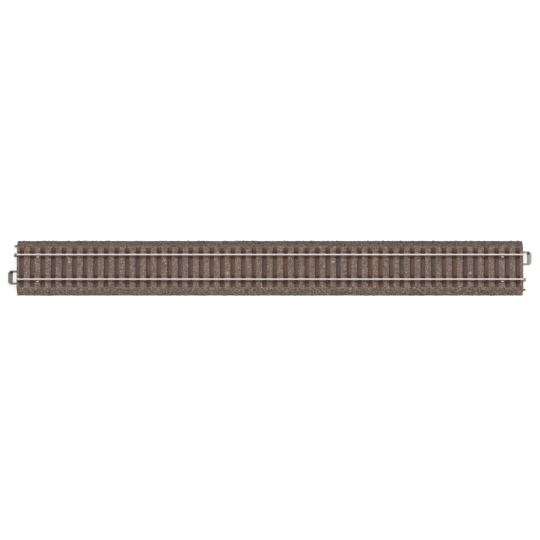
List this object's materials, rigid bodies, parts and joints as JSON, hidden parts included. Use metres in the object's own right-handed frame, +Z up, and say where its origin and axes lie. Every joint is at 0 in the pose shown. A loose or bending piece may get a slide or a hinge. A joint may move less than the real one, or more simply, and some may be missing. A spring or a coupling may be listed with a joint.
{
  "type": "model track section",
  "caption": "Straight two-rail model railway track on a moulded ballast roadbed, with click latches, locating pins and sprung rail contacts at both ends.",
  "frame": {"origin": "middle of the section, on the surface that it stands on", "axes": "+X along the track, +Y across it, +Z up"},
  "size_m": [0.373, 0.039, 0.0103],
  "materials": {
    "ballast_plastic": "moulded stone relief, matt, speckled grey-brown",
    "sleeper_plastic": "wood-grained, matt, red-brown",
    "rail_metal": "drawn nickel silver, satin, bright head",
    "latch_metal": "stamped spring steel, satin",
    "retainer_plastic": "matt dark brown",
    "contact_metal": "tinned, satin",
    "spring_bronze": "phosphor bronze, satin",
    "pin_metal": "turned steel, satin",
    "rivet_brass": "brass, satin"
  },
  "bodies": {
    "track_body": {"roadbed": "ballast_plastic", "sleeper_grid": "sleeper_plastic", "rail_near": "rail_metal", "rail_far": "rail_metal", "loop_retainer_left": "retainer_plastic", "loop_retainer_right": "retainer_plastic", "contact_tongue_left": "contact_metal", "contact_tongue_right": "contact_metal", "contact_plate_left_near": "contact_metal", "contact_plate_left_far": "contact_metal", "contact_plate_right_near": "contact_metal", "contact_plate_right_far": "contact_metal", "locating_pin_left": "pin_metal", "locating_pin_right": "pin_metal", "plate_rivets": "rivet_brass", "retainer_rivets": "rivet_brass"},
    "latch_loop_left": {"latch_loop_left": "latch_metal"},
    "latch_loop_right": {"latch_loop_right": "latch_metal"},
    "contact_spring_left": {"contact_spring_left": "spring_bronze"},
    "contact_spring_right": {"contact_spring_right": "spring_bronze"}
  },
  "joints": [
    {"name": "latch_loop_left_flex", "type": "hinge", "parent": "track_body", "child": "latch_loop_left", "pos_m": [-0.173, -0.0069, 0.0025], "axis": [0, -1, 0], "range_deg": [0, 5], "stiffness_Nm_per_rad": 0.1},
    {"name": "contact_spring_left_flex", "type": "hinge", "parent": "track_body", "child": "contact_spring_left", "pos_m": [-0.1716, -0.00875, 0.00435], "axis": [0, -1, 0], "range_deg": [0, 6], "stiffness_Nm_per_rad": 0.01},
    {"name": "latch_loop_right_flex", "type": "hinge", "parent": "track_body", "child": "latch_loop_right", "pos_m": [0.173, 0.0069, 0.0025], "axis": [0, 1, 0], "range_deg": [0, 5], "stiffness_Nm_per_rad": 0.1},
    {"name": "contact_spring_right_flex", "type": "hinge", "parent": "track_body", "child": "contact_spring_right", "pos_m": [0.1716, 0.00875, 0.00435], "axis": [0, 1, 0], "range_deg": [0, 6], "stiffness_Nm_per_rad": 0.01}
  ]
}
